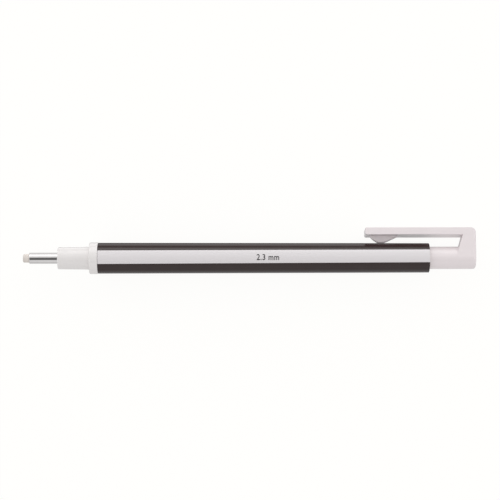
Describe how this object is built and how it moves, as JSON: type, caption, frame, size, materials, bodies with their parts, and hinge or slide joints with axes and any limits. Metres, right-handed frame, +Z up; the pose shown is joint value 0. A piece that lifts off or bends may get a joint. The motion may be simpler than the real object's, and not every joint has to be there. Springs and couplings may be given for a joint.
{
  "type": "push-button eraser pen",
  "caption": "Slim push-button eraser pen: printed barrel, stepped white nose, steel tip pipe with a thin round eraser, and a one-piece button and clip.",
  "frame": {"origin": "under the middle of the pen's bounding box, on the table that it lies on", "axes": "+X runs along the pen from the eraser's tip to the push button, +Z is up from the table, and the clip points along +Y, dipping 8.3 degrees until its edge is level with the barrel's underside"},
  "size_m": [0.12, 0.0122, 0.0084],
  "materials": {
    "printed_barrel": "smooth glossy black tube printed with a lengthwise white band at each side",
    "white_plastic": "moulded satin gloss, slightly warm white",
    "polished_steel": "polished drawn tube with a rolled lip",
    "eraser_rubber": "matt soft white elastomer, slightly worn at the tip",
    "silicone": "translucent grey, matt",
    "natural_plastic": "uncoloured moulded resin",
    "spring_steel": "drawn spring wire",
    "brass": "turned brass"
  },
  "bodies": {
    "barrel_assembly": {"barrel": "printed_barrel", "nose_cone": "white_plastic", "guide_pipe": "polished_steel", "tip_retainer": "silicone", "chuck_sleeve": "natural_plastic", "chuck_spring": "spring_steel"},
    "feed_unit": {"chuck": "natural_plastic", "chuck_holder": "natural_plastic", "refill_tube": "natural_plastic"},
    "squeeze_ring": {"chuck_ring": "brass"},
    "eraser": {"eraser_refill": "eraser_rubber"},
    "button": {"push_button": "white_plastic"},
    "clip": {"clip_arm": "white_plastic"}
  },
  "joints": [
    {"name": "button_press", "type": "slide", "parent": "barrel_assembly", "child": "feed_unit", "axis": [-1, 0, 0], "range_m": [0, 0.0045], "stiffness_N_per_m": 600, "springref_m": -0.004, "deforming": ["chuck_spring"]},
    {"name": "ring_slip", "type": "slide", "parent": "feed_unit", "child": "squeeze_ring", "axis": [1, 0, 0], "range_m": [0, 0.0033]},
    {"name": "button_pull", "type": "slide", "parent": "feed_unit", "child": "button", "axis": [1, 0, 0], "range_m": [0, 0.02]},
    {"name": "eraser_feed", "type": "slide", "parent": "barrel_assembly", "child": "eraser", "axis": [-1, 0, 0], "range_m": [-0.0016, 0.02]},
    {"name": "clip_flex", "type": "hinge", "parent": "button", "child": "clip", "pos_m": [0.0564, 0.00481, 0.0032], "axis": [0, -0.1443, -0.9895], "range_deg": [0, 5], "stiffness_Nm_per_rad": 0.76, "springref_deg": -1.15}
  ],
  "couplings": [
    {"joint": "ring_slip", "follows": "button_press", "ratio": 0.7333}
  ]
}
